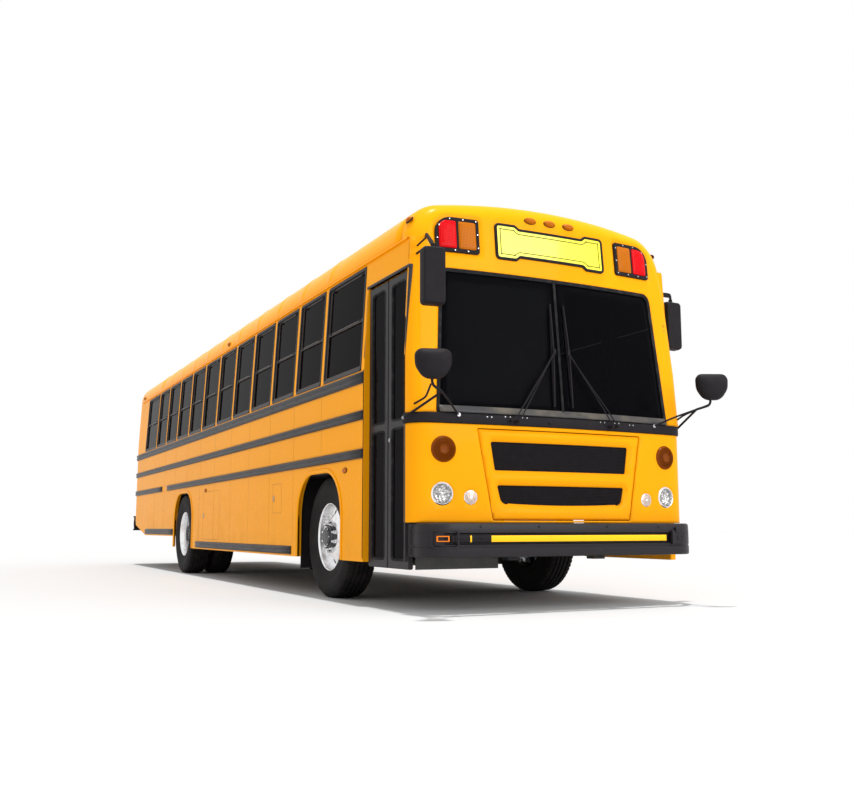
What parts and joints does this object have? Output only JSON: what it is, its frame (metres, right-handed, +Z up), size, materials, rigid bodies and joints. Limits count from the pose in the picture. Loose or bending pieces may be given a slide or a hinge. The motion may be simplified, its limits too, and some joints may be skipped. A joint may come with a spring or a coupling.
{
  "type": "flat-front school bus",
  "caption": "Yellow flat-front school bus with a hollow seated cabin, folding entrance door, rear emergency door, rub rails, mirrors and steered front wheels.",
  "frame": {"origin": "on the road under the middle of the whole bus", "axes": "+Z up, -Y forward to the nose, +X to the driver's side"},
  "size_m": [2.7378, 11.449, 3.13],
  "materials": {
    "yellow_paint": "gloss",
    "black_paint": "satin",
    "black_trim": "satin",
    "dark_glass": "gloss",
    "tyre": "matte",
    "wheel": "polished",
    "steel": "matte",
    "amber_lens": "gloss",
    "red_lens": "gloss",
    "clear_lens": "gloss",
    "sign_yellow": "gloss",
    "stop_red": "satin",
    "seat_vinyl": "satin",
    "floor_rubber": "matte",
    "engine_grey": "matte",
    "gate_yellow": "satin",
    "exhaust_metal": "dull"
  },
  "bodies": {
    "root": {"chassis_frame": "steel", "floor": "floor_rubber", "wheel_housings": "black_trim", "left_wall": "yellow_paint", "right_wall": "yellow_paint", "roof": "yellow_paint", "front_cap": "yellow_paint", "rear_wall": "yellow_paint", "front_fascia": "yellow_paint", "cowl": "black_trim", "windshield": "dark_glass", "entry_steps": "floor_rubber", "window_frames": "black_paint", "window_glass": "dark_glass", "rub_rails": "black_paint", "front_bumper": "black_paint", "rear_bumper": "black_paint", "headlamps": "clear_lens", "amber_lamps": "amber_lens", "red_lamps": "red_lens", "sign_board": "sign_yellow", "mirrors": "black_paint", "wipers": "black_paint", "seat_frames": "black_trim", "seat_pads": "seat_vinyl", "driver_seat": "seat_vinyl", "dashboard": "black_trim", "engine_cover": "black_trim", "engine": "engine_grey", "fuel_tank": "black_trim", "exhaust": "exhaust_metal", "drive_shaft": "steel", "mud_flaps": "black_trim", "front_axle": "steel", "rear_axle": "steel", "stop_arm_bracket": "black_paint"},
    "left_knuckle": {"left_knuckle": "steel"},
    "right_knuckle": {"right_knuckle": "steel"},
    "steering_wheel": {"steering_wheel": "black_trim"},
    "front_left_wheel": {"front_left_tyre": "tyre", "front_left_rim": "wheel"},
    "front_right_wheel": {"front_right_tyre": "tyre", "front_right_rim": "wheel"},
    "rear_left_wheels": {"rear_left_tyres": "tyre", "rear_left_rims": "wheel"},
    "rear_right_wheels": {"rear_right_tyres": "tyre", "rear_right_rims": "wheel"},
    "front_leaf": {"front_door_leaf": "black_paint", "front_leaf_glass": "dark_glass"},
    "rear_leaf": {"rear_door_leaf": "black_paint", "rear_leaf_glass": "dark_glass"},
    "emergency_door": {"emergency_door": "yellow_paint", "emergency_door_glass": "dark_glass"},
    "grille_panel": {"grille_panel": "yellow_paint", "grilles": "black_trim"},
    "crossing_gate": {"crossing_gate": "gate_yellow"},
    "stop_arm": {"stop_arm": "stop_red"},
    "front_roof_hatch": {"front_roof_hatch": "black_paint"},
    "rear_roof_hatch": {"rear_roof_hatch": "black_paint"}
  },
  "joints": [
    {"name": "left_steer", "type": "hinge", "parent": "root", "child": "left_knuckle", "pos_m": [0.88, -3.4165, 0.52], "axis": [0, 0, 1], "range_deg": [-38, 38]},
    {"name": "right_steer", "type": "hinge", "parent": "root", "child": "right_knuckle", "pos_m": [-0.88, -3.4165, 0.52], "axis": [0, 0, 1], "range_deg": [-38, 38]},
    {"name": "steering_wheel_turn", "type": "hinge", "parent": "root", "child": "steering_wheel", "pos_m": [0.72, -4.7765, 1.64], "axis": [0, 0.5836, 0.812], "range_deg": [-684, 684]},
    {"name": "front_left_roll", "type": "hinge", "parent": "left_knuckle", "child": "front_left_wheel", "pos_m": [0.992, -3.4165, 0.52], "axis": [1, 0, 0], "continuous": true},
    {"name": "front_right_roll", "type": "hinge", "parent": "right_knuckle", "child": "front_right_wheel", "pos_m": [-0.992, -3.4165, 0.52], "axis": [1, 0, 0], "continuous": true},
    {"name": "rear_left_roll", "type": "hinge", "parent": "root", "child": "rear_left_wheels", "pos_m": [1.074, 1.8665, 0.52], "axis": [1, 0, 0], "continuous": true},
    {"name": "rear_right_roll", "type": "hinge", "parent": "root", "child": "rear_right_wheels", "pos_m": [-1.074, 1.8665, 0.52], "axis": [1, 0, 0], "continuous": true},
    {"name": "front_leaf_swing", "type": "hinge", "parent": "root", "child": "front_leaf", "pos_m": [-1.157, -5.1365, 1], "axis": [0, 0, 1], "range_deg": [0, 88]},
    {"name": "rear_leaf_swing", "type": "hinge", "parent": "root", "child": "rear_leaf", "pos_m": [-1.157, -4.4495, 1], "axis": [0, 0, 1], "range_deg": [-88, 0]},
    {"name": "emergency_door_swing", "type": "hinge", "parent": "root", "child": "emergency_door", "pos_m": [-0.333, 5.6265, 1.8], "axis": [0, 0, 1], "range_deg": [0, 110]},
    {"name": "grille_panel_lift", "type": "hinge", "parent": "root", "child": "grille_panel", "pos_m": [0, -5.3915, 1.3], "axis": [-1, 0, 0], "range_deg": [0, 75]},
    {"name": "crossing_gate_swing", "type": "hinge", "parent": "root", "child": "crossing_gate", "pos_m": [-1, -5.4835, 0.52], "axis": [0, 0, -1], "range_deg": [0, 90]},
    {"name": "stop_arm_swing", "type": "hinge", "parent": "root", "child": "stop_arm", "pos_m": [1.261, -4.0365, 1.62], "axis": [0, 0, -1], "range_deg": [0, 90]},
    {"name": "front_hatch_lift", "type": "hinge", "parent": "root", "child": "front_roof_hatch", "pos_m": [0, -2.5965, 3.098], "axis": [1, 0, 0], "range_deg": [0, 80]},
    {"name": "rear_hatch_lift", "type": "hinge", "parent": "root", "child": "rear_roof_hatch", "pos_m": [0, 2.6035, 3.098], "axis": [1, 0, 0], "range_deg": [0, 80]}
  ],
  "couplings": [
    {"joint": "right_steer", "follows": "left_steer", "ratio": 1},
    {"joint": "steering_wheel_turn", "follows": "left_steer", "ratio": 18},
    {"joint": "rear_leaf_swing", "follows": "front_leaf_swing", "ratio": -1}
  ]
}
